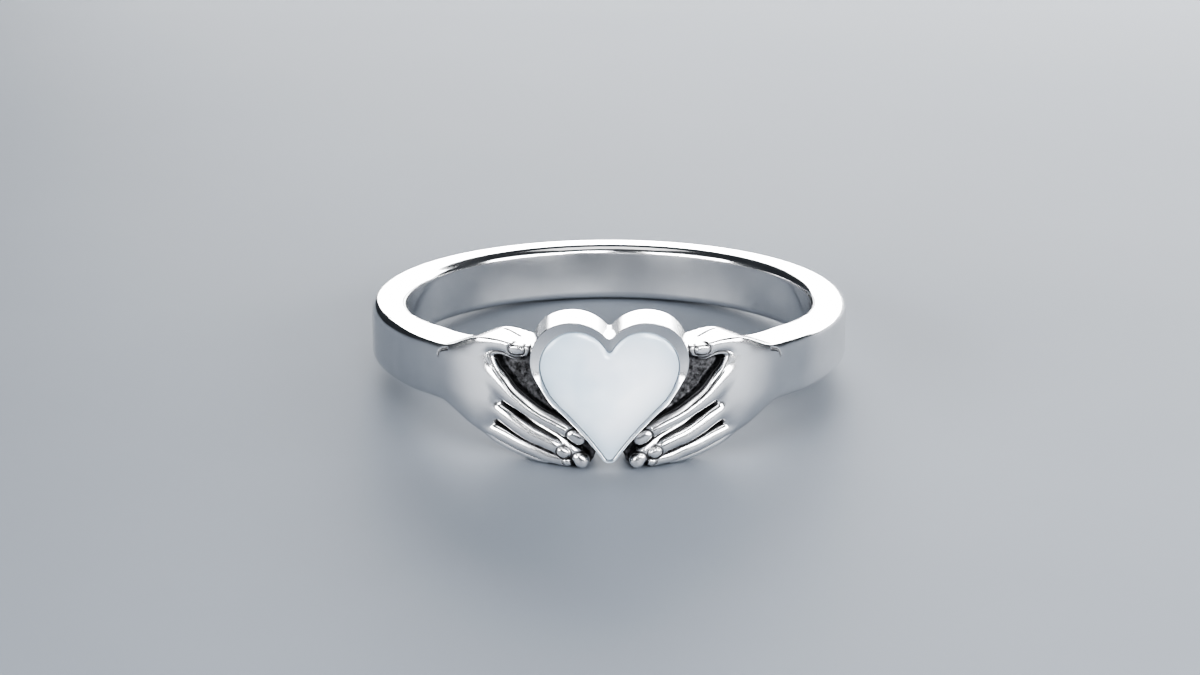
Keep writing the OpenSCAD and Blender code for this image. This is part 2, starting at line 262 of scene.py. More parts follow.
def smooth_curve(rows, count=600):
    """Rows of numbers, the first one rising or falling, as fine columns of a smooth curve."""
    rows = np.array(rows, float)
    if rows[0, 0] > rows[-1, 0]:
        rows = rows[::-1]
    x = rows[:, 0]
    fine = np.linspace(x[0], x[-1], count)
    columns = [fine]
    width = np.diff(x)
    place = np.clip(np.searchsorted(x, fine, side="right") - 1, 0, len(x) - 2)
    f = (fine - x[place]) / width[place]
    for y in rows.T[1:]:
        secant = np.diff(y) / width
        slope = np.empty(len(x))
        slope[0] = secant[0]
        slope[-1] = secant[-1]
        slope[1:-1] = (secant[:-1] * width[1:] + secant[1:] * width[:-1]) / (width[:-1] + width[1:])
        start = slope[place] * width[place]
        end = slope[place + 1] * width[place]
        columns.append(y[place] * (1 + 2 * f) * (1 - f) ** 2 + start * f * (1 - f) ** 2
                       + y[place + 1] * f * f * (3 - 2 * f) + end * f * f * (f - 1))
    return columns


def along_hand(rows):
    """The smooth columns of a table whose first column is in degrees, with that one as lengths."""
    columns = smooth_curve(rows)
    return [np.radians(columns[0]) * ARC_R] + columns[1:]


def smooth_min(a, b, k):
    """The lesser of two fields, with their crossing filled over a width k."""
    h = np.maximum(k - np.abs(a - b), 0) / k
    return np.minimum(a, b) - h * h * k / 4


def smooth_max(a, b, k):
    return -smooth_min(-a, -b, k)


def smooth_step(low, high, x):
    """0 at low, 1 at high, and smooth between."""
    f = np.clip((x - low) / (high - low), 0, 1)
    return f * f * (3 - 2 * f)


def digit_columns(rows):
    s, z, half, crown = along_hand(rows)
    return s, z, half, crown, np.gradient(z, s)


DIGIT_CURVES = [(digit_columns(rows), square, arch, run) for rows, square, arch, run in DIGITS]
BACK_CURVE = along_hand(BACK)
GROUND_CURVE = along_hand(GROUND_LOW)
TOP_CURVE = along_hand(TOP)
RIM_CURVE = smooth_curve(RIM)


def digit_field(columns, square, arch, s, z, r):
    """A digit: straight sides under a round back, and round ends."""
    line_s, line_z, half, crown, slope = columns
    slope_here = np.interp(s, line_s, slope)
    tip = np.minimum(s - line_s[0], 0)
    root = np.maximum(s - line_s[-1], 0)
    z_here = np.interp(s, line_s, line_z) + tip * slope[0] + root * slope[-1]
    aside = (z - z_here) / np.hypot(1, slope_here)
    past_tip = ((line_s[0] - s) + (line_z[0] - z) * slope[0]) / math.hypot(1, slope[0])
    past_root = ((s - line_s[-1]) + (z - line_z[-1]) * slope[-1]) / math.hypot(1, slope[-1])
    away = np.hypot(aside, np.maximum(np.maximum(past_tip, past_root), 0))
    half = np.interp(s, line_s, half)
    above = np.maximum((r - np.interp(s, line_s, crown)) / arch + half, 0)
    return (away ** square + above ** square) ** (1 / square) - half


def back_field(s, z, r):
    line_s = BACK_CURVE[0]
    columns = [np.interp(s, line_s, column) for column in BACK_CURVE[1:]]
    low, high, crest, top, low_r, high_r, square = columns
    upper = z > crest
    span = np.where(upper, high - crest, crest - low)
    foot = np.where(upper, high_r, low_r)
    across = np.abs(z - crest) / span
    above = np.maximum((r - foot) / (top - foot), 0)
    share = np.maximum((across ** square + above ** square) ** (1 / square), 0.3)
    # Divided by its slope, the share becomes a length
    slope_z = (across / share) ** (square - 1) / span
    slope_r = (above / share) ** (square - 1) / (top - foot)
    field = (share - 1) / np.maximum(np.hypot(slope_z, slope_r), 0.5)
    return np.maximum(field, np.maximum(line_s[0] - s, s - line_s[-1]))


def ground_field(s, z, r):
    low = np.interp(s, *GROUND_CURVE)
    out = smooth_max(r - GROUND_R, low - z, GROUND_EDGE_RUN)
    return np.maximum(out, s - GROUND_CURVE[0][-1])


def band_field(s, z, r):
    """The band, which is thinned to the ground's radius between the hands."""
    outer = GROUND_R + (BAND_R - GROUND_R) * smooth_step(BAND_FROM, BAND_TO, s)
    across = np.abs(r - (BORE_R + outer) / 2) - ((outer - BORE_R) / 2 - EDGE_R)
    up = np.abs(z) - (BAND_HALF - EDGE_R)
    outside = np.hypot(np.maximum(across, 0), np.maximum(up, 0))
    return outside + np.minimum(np.maximum(across, up), 0) - EDGE_R


CHEEK_X = LOBE_X + (LOBE_R - CHEEK_R) * math.cos(LOBE_TO)
CHEEK_Z = LOBE_UP - (LOBE_R - CHEEK_R) * math.sin(LOBE_TO)
FLANK_X = CHEEK_X + (CHEEK_R + FLANK_R) * math.cos(CHEEK_TO)
FLANK_Z = CHEEK_Z - (CHEEK_R + FLANK_R) * math.sin(CHEEK_TO)
FLANK_TO = math.acos(FLANK_X / (FLANK_R + POINT_R))
POINT_Z = FLANK_Z + (FLANK_R + POINT_R) * math.sin(FLANK_TO)


def heart_arcs(out, rim):
    """Arcs of the heart's half outline in order: centre, radius, side, first and last direction."""
    reach = LOBE_R + out + rim * RIM[0][1] + NOTCH_R
    notch_z = LOBE_UP + math.sqrt(reach ** 2 - LOBE_X ** 2)
    notch_to = math.acos(LOBE_X / reach)
    return [(0.0, notch_z, NOTCH_R, -1, -math.pi / 2, -notch_to),
            (LOBE_X, LOBE_UP, LOBE_R, 1, math.pi - notch_to, -LOBE_TO),
            (CHEEK_X, CHEEK_Z, CHEEK_R, 1, -LOBE_TO, -CHEEK_TO),
            (FLANK_X, FLANK_Z, FLANK_R, -1, math.pi - CHEEK_TO, math.pi - FLANK_TO),
            (0.0, POINT_Z, POINT_R, 1, -FLANK_TO, -math.pi / 2)]


HEART_ARCS = heart_arcs(0, 0)


def heart_field(x, z):
    """Distance to the heart's outline, below 0 inside, for an x of 0 or more; the course there."""
    best = np.full(x.shape, np.inf)
    value = np.zeros(x.shape)
    place = np.zeros(x.shape)
    for course, (cx, cz, radius, side, start, end) in enumerate(HEART_ARCS):
        dx = x - cx
        dz = z - cz
        middle = (start + end) / 2
        turn = (np.arctan2(dz, dx) - middle + math.pi) % (2 * math.pi) - math.pi
        share = np.clip((middle + turn - start) / (end - start), 0, 1)
        to = start + (end - start) * share
        near = np.hypot(dx - radius * np.cos(to), dz - radius * np.sin(to))
        inside = side * (np.hypot(dx, dz) - radius) < 0
        closer = near < best
        best = np.where(closer, near, best)
        value = np.where(closer, np.where(inside, -near, near), value)
        place = np.where(closer, course + share, place)
    return value, place


def heart_line(out, rim):
    """Points of the heart's outline, set outward by an even width and by shares of the rim."""
    points = []
    for course, (cx, cz, radius, side, start, end) in enumerate(heart_arcs(out, rim)):
        for k in range(COURSE_STEPS[course]):
            share = k / COURSE_STEPS[course]
            a = start + (end - start) * share
            width = out + rim * np.interp(course + share, *RIM_CURVE)
            reach = radius if course == 0 else radius + side * width
            points.append((cx + reach * math.cos(a), cz + reach * math.sin(a)))
    points.append((0.0, POINT_Z - POINT_R - out - rim * RIM[-1][1]))
    return np.array(points + [(-x, z) for x, z in points[-2:0:-1]])


def pocket_field(x, z, depth):
    """The room of the stone and of half the cup's wall, which nothing else may fill."""
    inner, course = heart_field(x, z)
    wall = RIM_W * np.interp(course, *RIM_CURVE)
    return np.maximum(inner - STONE_GAP - wall / 2, STONE_BACK - depth)


def path_points(rows, steps=12):
    """A smooth path through rows of degrees and height, as lengths along the hand and heights."""
    rows = np.array(rows, float)
    rows[:, 0] = np.radians(rows[:, 0]) * ARC_R
    columns = smooth_curve([(k, *row) for k, row in enumerate(rows)], steps * len(rows))
    return np.stack(columns[1:], 1)


LINE_PATHS = [path_points(WEB_LINE), path_points(CUFF_LINE)]


def line_share(s, z):
    """How much of a chased line's depth a place has: 1 in the middle of a line."""
    out = np.zeros(s.shape)
    for path in LINE_PATHS:
        low = path.min(0) - 4 * LINE_HALF
        high = path.max(0) + 4 * LINE_HALF
        near = np.nonzero((s > low[0]) & (s < high[0]) & (z > low[1]) & (z < high[1]))
        place = np.stack([s[near], z[near]], 1)
        best = np.full(len(place), np.inf)
        for a, b in zip(path[:-1], path[1:]):
            way = b - a
            f = np.clip((place - a) @ way / (way @ way), 0, 1)
            best = np.minimum(best, ((place - a - f[:, None] * way) ** 2).sum(1))
        out[near] = np.maximum(out[near], np.exp(-best / LINE_HALF ** 2))
    return out


def nail_share(s, z):
    """How much of a nail's rise a place has, and how much of the line round it."""
    cap = np.zeros(s.shape)
    line = np.zeros(s.shape)
    for turn, up, long, wide, lean in NAILS:
        away_s = math.radians(turn) * ARC_R - s
        away_z = up - z
        a = math.radians(lean)
        along = (away_s * math.cos(a) + away_z * math.sin(a)) / long
        aside = (away_z * math.cos(a) - away_s * math.sin(a)) / wide
        q = (np.abs(along) ** NAIL_SQUARE + np.abs(aside) ** NAIL_SQUARE) ** (1 / NAIL_SQUARE)
        q = np.minimum(q, 3)
        cap = np.maximum(cap, (1 - smooth_step(0.70, 1.0, q)) * (1 - 0.25 * q * q))
        line = np.maximum(line, np.exp(-((q - 1.14) / 0.17) ** 2))
    return cap, line


def metal_field(turn, z, r):
    """The casting without its cup. turn is the angle from the middle of the front."""
    turn = np.abs(turn)
    s = turn * ARC_R
    body = smooth_min(band_field(s, z, r), ground_field(s, z, r), GROUND_RUN)
    body = smooth_min(body, back_field(s, z, r), BACK_RUN)
    fingers = np.full(s.shape, FAR)
    for columns, square, arch, run in DIGIT_CURVES:
        fingers = smooth_min(fingers, digit_field(columns, square, arch, s, z, r), run)
    fingers = np.maximum(fingers, GROUND_R - DIGIT_ROOT - r)
    body = smooth_min(body, fingers, DIGIT_RUN)
    top = np.interp(s, *TOP_CURVE)
    body = np.where(s < TOP_CURVE[0][-1], smooth_max(body, z - top, TOP_RUN), body)
    cap, line = nail_share(s, z)
    carved = NAIL_RISE * cap - NAIL_LINE * line - LINE_DEEP * line_share(s, z)
    body = body - carved * smooth_step(CARVE_FROM, CARVE_TO, r)
    x = r * np.sin(turn)
    depth = r * np.cos(turn)
    pocket = np.where((depth > STONE_BACK - 0.2) & (x < 4), pocket_field(x, z, depth), FAR)
    body = np.maximum(body, -pocket)
    return np.maximum(body, BORE_R - r)


def field_slopes(turn, z, r, d):
    """The field's slope along the ring, up and outward, taken over a distance d each way."""
    along = metal_field(turn + d / r, z, r) - metal_field(turn - d / r, z, r)
    up = metal_field(turn, z + d, r) - metal_field(turn, z - d, r)
    out = metal_field(turn, z, r + d) - metal_field(turn, z, r - d)
    return along / (2 * d), up / (2 * d), out / (2 * d)


def spread(stretches, coarse):
    """Places along an axis, from stretches of (start, end, spacing)."""
    out = [stretches[0][0]]
    for start, end, spacing in stretches:
        count = max(1, round((end - start) / (spacing * coarse)))
        out += [start + (end - start) * (k + 1) / count for k in range(count)]
    return np.array(out)


# The grid on which the casting is meshed, finest at the fingers: start, end, spacing
GRID_S = [(0, 5.3, 0.048),
          (5.3, 8, 0.07),
          (8, 11, 0.15),
          (11, 14, 0.4),
          (14, math.pi * ARC_R, 0.9)]
GRID_Z = [(-3.55, 2.2, 0.048)]
GRID_R = [(8.5, 9.7, 0.08), (9.7, 10.95, 0.048)]


def surface_net(coarse):
    """Points and quads of the casting's surface, a point for each cell that it runs through."""
    half = spread(GRID_S, coarse) / ARC_R
    turns = np.concatenate([-half[:0:-1], half])
    ups = spread(GRID_Z, coarse)
    radii = spread(GRID_R, coarse)
    one_side = metal_field(*np.meshgrid(half, ups, radii, indexing="ij"))
    field = np.concatenate([one_side[:0:-1], one_side[:-1]])
    inside = field < 0
    nt, nz, nr = field.shape
    corners = [(a, b, c) for a in (0, 1) for b in (0, 1) for c in (0, 1)]
    ahead = np.roll(inside, -1, axis=0)
    count = np.zeros((nt, nz - 1, nr - 1), int)
    for a, b, c in corners:
        count += (inside, ahead)[a][:, b:nz - 1 + b, c:nr - 1 + c]
    active = (count > 0) & (count < 8)
    cells = np.nonzero(active)
    index = np.full(active.shape, -1)
    index[cells] = np.arange(len(cells[0]))
    total = np.zeros((len(cells[0]), 3))
    hits = np.zeros(len(cells[0]))
    for corner in corners:
        for axis in range(3):
            if corner[axis]:
                continue
            other = list(corner)
            other[axis] = 1
            fa = field[(cells[0] + corner[0]) % nt, cells[1] + corner[1], cells[2] + corner[2]]
            fb = field[(cells[0] + other[0]) % nt, cells[1] + other[1], cells[2] + other[2]]
            cut = (fa < 0) != (fb < 0)
            place = np.tile(np.array(corner, float), (len(cut), 1))
            place[:, axis] = fa / np.where(cut, fa - fb, 1)
            total += np.where(cut[:, None], place, 0)
            hits += cut
    share = (total / hits[:, None]).T
    points = [line[cell] + f * (line[cell + 1] - line[cell])
              for line, cell, f in zip((turns, ups, radii), cells, share)]
    # A quad goes round each grid edge that crosses the surface
    quads = []
    around = [((0, -1, -1), (0, 0, -1), (0, 0, 0), (0, -1, 0)),
              ((-1, 0, -1), (-1, 0, 0), (0, 0, 0), (0, 0, -1)),
              ((-1, -1, 0), (0, -1, 0), (0, 0, 0), (-1, 0, 0))]
    crossings = [inside[:, 1:-1, 1:-1] != ahead[:, 1:-1, 1:-1],
                 inside[:, :-1, 1:-1] != inside[:, 1:, 1:-1],
                 inside[:, 1:-1, :-1] != inside[:, 1:-1, 1:]]
    firsts = [(0, 1, 1), (0, 0, 1), (0, 1, 0)]
    for offsets, crossing, first in zip(around, crossings, firsts):
        i, j, k = (c + f for c, f in zip(np.nonzero(crossing), first))
        quad = np.stack([index[(i + a) % nt, j + b, k + c] for a, b, c in offsets], 1)
        quads.append(np.where(inside[i, j, k][:, None], quad, quad[:, ::-1]))
    return points, np.concatenate(quads)


# Distances over which the field's slope is taken, for places and for the shading
PLACE_REACH = 0.006
SHADE_REACH = 0.02


def on_surface(turn, z, r, rounds):
    """The points drawn on to the true surface."""
    for k in range(rounds):
        value = metal_field(turn, z, r)
        along, up, out = field_slopes(turn, z, r, PLACE_REACH)
        move = np.clip(value / (along ** 2 + up ** 2 + out ** 2 + 1e-9), -0.05, 0.05)
        turn = turn - move * along / r
        z = z - move * up
        r = r - move * out
    return turn, z, r


def relaxed(turn, z, r, quads, rounds):
    """The points slid along the surface to even spacing, which clears the grid's steps."""
    edges = np.concatenate([quads[:, [k, (k + 1) % 4]] for k in range(4)])
    for k in range(rounds):
        place = np.stack([r * np.sin(turn), r * np.cos(turn), z], 1)
        total = np.zeros(place.shape)
        count = np.zeros(len(place))
        for a, b in (edges.T, edges.T[::-1]):
            for axis in range(3):
                total[:, axis] += np.bincount(a, place[b, axis], len(place))
            count += np.bincount(a, minlength=len(place))
        place += 0.6 * (total / count[:, None] - place)
        turn = np.arctan2(place[:, 0], place[:, 1])
        turn, z, r = on_surface(turn, place[:, 2], np.hypot(place[:, 0], place[:, 1]), 1)
    return turn, z, r


def ring_points(turn, z, r):
    return np.stack([r * np.sin(turn), -r * np.cos(turn), z], 1)


def casting_normals(turn, z, r):
    along, up, out = field_slopes(turn, z, r, SHADE_REACH)
    x = out * np.sin(turn) + along * np.cos(turn)
    y = along * np.sin(turn) - out * np.cos(turn)
    normals = np.stack([x, y, up], 1)
    return normals / np.linalg.norm(normals, axis=1)[:, None]


# Distances over which recesses are felt, and how strongly
RECESS_REACH = [(0.08, 0.30), (0.18, 0.35), (0.36, 0.35)]
# The black finish begins and is full at these shares of sinking
SUNK_FROM = 0.28
SUNK_FULL = 0.62


def recess_share(points, normals):
    """How sunk a place is: 0 on open metal, near 1 at the bottom of a groove."""
    out = np.zeros(len(points))
    for reach, weight in RECESS_REACH:
        place = points + normals * reach
        turn = np.arctan2(place[:, 0], -place[:, 1])
        r = np.hypot(place[:, 0], place[:, 1])
        open_share = metal_field(turn, place[:, 2], r) / reach
        out += weight * (1 - np.clip(open_share, 0, 1))
    return out


def tarnish_and_shade(points, normals):
    """Where the finish is darkened: black finish on the ground beside the heart, in grooves and
    lines, a dark streak on each thumb's top, and painted shade on the lower walls under the thumbs.
    """
    turn = np.abs(np.arctan2(points[:, 0], -points[:, 1]))
    r = np.hypot(points[:, 0], points[:, 1])
    s = turn * ARC_R
    z = points[:, 2]
    outward = (normals[:, 0] * points[:, 0] + normals[:, 1] * points[:, 1]) / r
    index_s, index_z = along_hand(INDEX)[:2]
    above_index = smooth_step(0.0, 0.12, z - np.interp(s, index_s, index_z))
    recess = np.maximum(above_index, smooth_step(1.3, 1.0, s)) * smooth_step(5.0, 4.7, s)
    # The ground's black finish. The same mask also darkens the lower part of the wall under each
    # thumb, which is painted shade.
    floor = recess * smooth_step(10.44, 10.26, r) * smooth_step(9.7, 9.85, r)
    floor *= smooth_step(1.75, 1.5, z) * smooth_step(-0.3, 0.1, outward)
    start = np.array(STREAK[0])
    way = np.array(STREAK[1]) - start
    plan = np.stack([np.abs(points[:, 0]), points[:, 1]], 1) - start
    f = np.clip(plan @ way / (way @ way), 0, 1)
    away = np.hypot(*(plan - f[:, None] * way).T)
    streak = STREAK_STRENGTH * np.exp(-(away / STREAK_HALF) ** 2)
    streak *= smooth_step(0.8, 0.95, normals[:, 2])
    sunk = smooth_step(SUNK_FROM, SUNK_FULL, recess_share(points, normals))
    cap, line = nail_share(s, z)
    drawn = np.maximum(line, line_share(s, z)) * smooth_step(CARVE_FROM, CARVE_TO, r)
    return np.clip(np.maximum(np.maximum(floor, sunk), np.maximum(streak, 0.9 * drawn)), 0, 1)


def cup_rings():
    """The cup: outer wall, rounded front edge, sloping rim, lip at the stone, and seat."""
    seat = heart_line(SEAT_GAP, 0)
    rim = heart_line(STONE_GAP, RIM_W)
    width = np.hypot(*(rim - seat).T)
    edge = np.minimum(RIM_ROUND, 0.4 * width)
    lip = np.minimum(LIP_W, 0.35 * width)
    slope = (CUP_FRONT - GIRDLE - LIP_HIGH) / (width - lip)
    # Each row: distance from the seat, depth
    rows = [(width, CUP_BACK), (width, CUP_FRONT - 1.6 * edge)]
    for k in range(ROUND_STEPS + 1):
        f = k / ROUND_STEPS
        rows.append((width - f * f * edge, CUP_FRONT - (1 - f) ** 2 * edge - f * f * edge * slope))
    rows.append((lip, GIRDLE + LIP_HIGH))
    rows.append((0.55 * lip, GIRDLE + 0.95 * LIP_HIGH))
    for depth in (GIRDLE + 0.4 * LIP_HIGH, GIRDLE - 0.3, STONE_BACK - STONE_GAP):
        rows.append((0 * lip, depth))
    rings = []
    for away, depth in rows:
        flat = seat + (rim - seat) * (away / width)[:, None]
        rings.append(np.stack([flat[:, 0], -depth * np.ones(len(flat)), flat[:, 1]], 1))
    return rings


# Count of rows on the dome, and the rounding between the stone's side and its dome
STONE_ROWS = 26
STONE_EDGE = 0.035
# The dome is worked out on a grid of this spacing, in this many rounds, and then raised to a power
# that makes it flatter in the middle
DOME_SPACING = 0.05
DOME_ROUNDS = 1500
DOME_POWER = 0.45


def dome_heights():
    """Height of a smooth dome over the heart: a sheet blown up on the heart's outline."""
    margin = 2 * DOME_SPACING
    xs = np.arange(-STONE_HALF - margin, STONE_HALF + margin, DOME_SPACING)
    zs = np.arange(POINT_Z - 0.5, LOBE_UP + LOBE_R + margin, DOME_SPACING)
    gx, gz = np.meshgrid(xs, zs, indexing="ij")
    away, course = heart_field(np.abs(gx), gz)
    inside = away < 0
    sheet = np.where(inside, -away, 0)
    for k in range(DOME_ROUNDS):
        along_x = np.roll(sheet, 1, 0) + np.roll(sheet, -1, 0)
        mean = (along_x + np.roll(sheet, 1, 1) + np.roll(sheet, -1, 1)) / 4
        sheet = np.where(inside, mean + DOME_SPACING ** 2 / 4, 0)
    return xs, zs, sheet


def dome_at(points, grid):
    """The dome's height at points inside the outline."""
    xs, zs, sheet = grid
    spacing = xs[1] - xs[0]
    u = np.clip((points[:, 0] - xs[0]) / spacing, 0, len(xs) - 1.001)
    v = np.clip((points[:, 1] - zs[0]) / spacing, 0, len(zs) - 1.001)
    i = u.astype(int)
    j = v.astype(int)
    fu = u - i
    fv = v - j
    value = (sheet[i, j] * (1 - fu) * (1 - fv) + sheet[i + 1, j] * fu * (1 - fv)
             + sheet[i, j + 1] * (1 - fu) * fv + sheet[i + 1, j + 1] * fu * fv)
    return STONE_DOME * np.clip(value / sheet.max(), 0, 1) ** DOME_POWER


def stone_rings():
    """The stone: back, straight side, rounded edge and dome."""
    outline = heart_line(0, 0)
    middle = np.array([0, LOBE_UP - LOBE_R / 2])
    grid = dome_heights()
    rings = [(outline, STONE_BACK), (outline, GIRDLE - 0.25), (outline, GIRDLE - STONE_EDGE)]
    for k in range(STONE_ROWS):
        # Rows lie closer together near the edge, where the dome is steep
        share = 1 - (k / STONE_ROWS) ** 1.6
        flat = middle + (outline - middle) * share * (1 - STONE_EDGE / 4)
        rings.append((flat, GIRDLE + dome_at(flat, grid)))
    return [np.stack([flat[:, 0], -depth * np.ones(len(flat)), flat[:, 1]], 1)
            for flat, depth in rings]


def skinned(rings):
    """Points and faces of rings that follow one another, with a fan over each end."""
    rows = len(rings)
    n = len(rings[0])
    points = np.concatenate(rings + [[rings[0].mean(0)], [rings[-1].mean(0)]])
    faces = []
    for i in range(n):
        ahead = (i + 1) % n
        faces.append((rows * n, i, ahead))
        faces.append((rows * n + 1, (rows - 1) * n + ahead, (rows - 1) * n + i))
        for row in range(rows - 1):
            faces.append((row * n + ahead, row * n + i, (row + 1) * n + i, (row + 1) * n + ahead))
    return points, faces


# Rest pose: the ring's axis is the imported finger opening's, and the back of the band lies on z = 0
AXIS = frame["record"]["mounts"][0]["axis"]
TILT = math.atan2(AXIS[1], AXIS[2])
LIFT = (BAND_R - EDGE_R) * math.sin(TILT) + (BAND_HALF - EDGE_R) * math.cos(TILT) + EDGE_R
REAR = (BAND_R - EDGE_R) * math.cos(TILT) + (BAND_HALF - EDGE_R) * math.sin(TILT) + EDGE_R
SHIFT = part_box("ring_casting")[1].y / MM - REAR


def turned(vectors):
    """Directions in the ring's own frame as directions at rest."""
    y = vectors[:, 1] * math.cos(TILT) + vectors[:, 2] * math.sin(TILT)
    z = vectors[:, 2] * math.cos(TILT) - vectors[:, 1] * math.sin(TILT)
    return np.stack([vectors[:, 0], y, z], 1)


def at_rest(points):
    """Places in the ring's own frame, in mm, as places at rest, in metres."""
    return (turned(points) + (0, SHIFT, LIFT)) * MM


def new_object(name, points, faces, material):
    mesh = bpy.data.meshes.new(name)
    mesh.from_pydata(points.tolist(), [], [tuple(face) for face in faces])
    mesh.materials.append(material)
    piece = bpy.data.objects.new(name, mesh)
    bpy.context.scene.collection.objects.link(piece)
    return piece


# The casting keeps this many triangles, and only the hands, out to this length, are thinned
CASTING_TRIANGLES = 190000
HANDS_TO = 8.0


def decimated(points, quads, keep):
    """The mesh with the hands' flat stretches thinned out, as points and triangles."""
    source = bpy.data.meshes.new("source")
    source.from_pydata(points.tolist(), [], quads.tolist())
    holder = bpy.data.objects.new("holder", source)
    bpy.context.scene.collection.objects.link(holder)
    hands = holder.vertex_groups.new(name="hands")
    turn = np.arctan2(points[:, 0], -points[:, 1])
    hands.add(np.nonzero(np.abs(turn) * ARC_R < HANDS_TO)[0].tolist(), 1.0, "REPLACE")
    modifier = holder.modifiers.new("thin", "DECIMATE")
    modifier.vertex_group = "hands"
    modifier.ratio = keep
    thinned = holder.evaluated_get(bpy.context.evaluated_depsgraph_get()).to_mesh()
    thinned.calc_loop_triangles()
    out = np.empty(len(thinned.vertices) * 3)
    thinned.vertices.foreach_get("co", out)
    triangles = np.empty(len(thinned.loop_triangles) * 3, int)
    thinned.loop_triangles.foreach_get("vertices", triangles)
    bpy.data.objects.remove(holder)
    bpy.data.meshes.remove(source)
    return out.reshape(-1, 3), triangles.reshape(-1, 3)


def make_casting(material):
    coarse = 1.0
    (turn, z, r), quads = surface_net(coarse)
    turn, z, r = on_surface(turn, z, r, 3)
    turn, z, r = relaxed(turn, z, r, quads, 3)
    points = ring_points(turn, z, r)
    faces = quads
    if 2 * len(quads) > CASTING_TRIANGLES:
        points, faces = decimated(points, quads, CASTING_TRIANGLES / (2 * len(quads)))
        turn = np.arctan2(points[:, 0], -points[:, 1])
        turn, z, r = on_surface(turn, points[:, 2], np.hypot(points[:, 0], points[:, 1]), 1)
        points = ring_points(turn, z, r)
    normals = casting_normals(turn, z, r)
    mask = tarnish_and_shade(points, normals)
    piece = new_object("ring_metal", at_rest(points), faces, material)
    mesh = piece.data
    mesh.shade_smooth()
    mesh.normals_split_custom_set_from_vertices(turned(normals).tolist())
    mesh.attributes.new("tarnish_and_shade", "FLOAT", "POINT").data.foreach_set("value", mask)
    return piece


def make_cup(material):
    points, faces = skinned(cup_rings())
    piece = new_object("heart_cup", at_rest(points), faces, material)
    mesh = piece.data
    mesh.shade_smooth()
    mesh.set_sharp_from_angle(angle=math.radians(28))
    x, y, z = np.array([tuple(vertex.normal) for vertex in mesh.vertices]).T
    # Turned back into the ring's own frame
    normals = np.stack([x,
                        y * math.cos(TILT) - z * math.sin(TILT),
                        z * math.cos(TILT) + y * math.sin(TILT)], 1)
    mask = tarnish_and_shade(points, normals)
    mesh.attributes.new("tarnish_and_shade", "FLOAT", "POINT").data.foreach_set("value", mask)
    return piece


def make_stone(material):
    points, faces = skinned(stone_rings())
    piece = new_object("heart_cabochon", at_rest(points), faces, material)
    # Height share on the dome, which places the stone's painted shade at its edge
    rise = np.clip((-points[:, 1] - GIRDLE) / STONE_DOME, 0, 1)
    piece.data.attributes.new("rise", "FLOAT", "POINT").data.foreach_set("value", rise)
    piece.data.shade_smooth()
    piece.data.set_sharp_from_angle(angle=math.radians(50))
    return piece


def new_material(name):
    material = bpy.data.materials.new(name)
    material.use_nodes = True
    nodes = material.node_tree.nodes
    return material, nodes, material.node_tree.links, nodes["Principled BSDF"]


def noise(nodes, links, coordinates, scale, detail=3.0, rough=0.5):
    node = nodes.new("ShaderNodeTexNoise")
    node.inputs["Scale"].default_value = scale
    node.inputs["Detail"].default_value = detail
    node.inputs["Roughness"].default_value = rough
    links.new(coordinates, node.inputs["Vector"])
    return node.outputs["Fac"]


def ramp(nodes, links, value, stops):
    """Colours or greys over a value: stops of (place, colour)."""
    node = nodes.new("ShaderNodeValToRGB")
    links.new(value, node.inputs["Fac"])
    elements = node.color_ramp.elements
    while len(elements) < len(stops):
        elements.new(0.5)
    for element, (place, colour) in zip(elements, stops):
        element.position = place
        element.color = colour if len(colour) == 4 else (*colour, 1)
    return node.outputs["Color"]


def feed(links, sockets, values):
    """Gives each socket its value, or a link where the value is another node's output."""
    for socket, value in zip(sockets, values):
        if isinstance(value, bpy.types.NodeSocket):
            links.new(value, socket)
        else:
            socket.default_value = value


def mix(nodes, links, kind, factor, a, b):
    """A blend from a to b; its sockets and output are picked by kind."""
    node = nodes.new("ShaderNodeMix")
    node.data_type = kind
    first = {"FLOAT": 2, "RGBA": 6}[kind]
    sockets = (node.inputs[0], node.inputs[first], node.inputs[first + 1])
    feed(links, sockets, (factor, a, b))
    return node.outputs[0 if kind == "FLOAT" else 2]


def maths(nodes, links, operation, *values):
    node = nodes.new("ShaderNodeMath")
    node.operation = operation
    feed(links, node.inputs, values)
    return node.outputs[0]


def grey(value):
    return (value, value, value, 1)


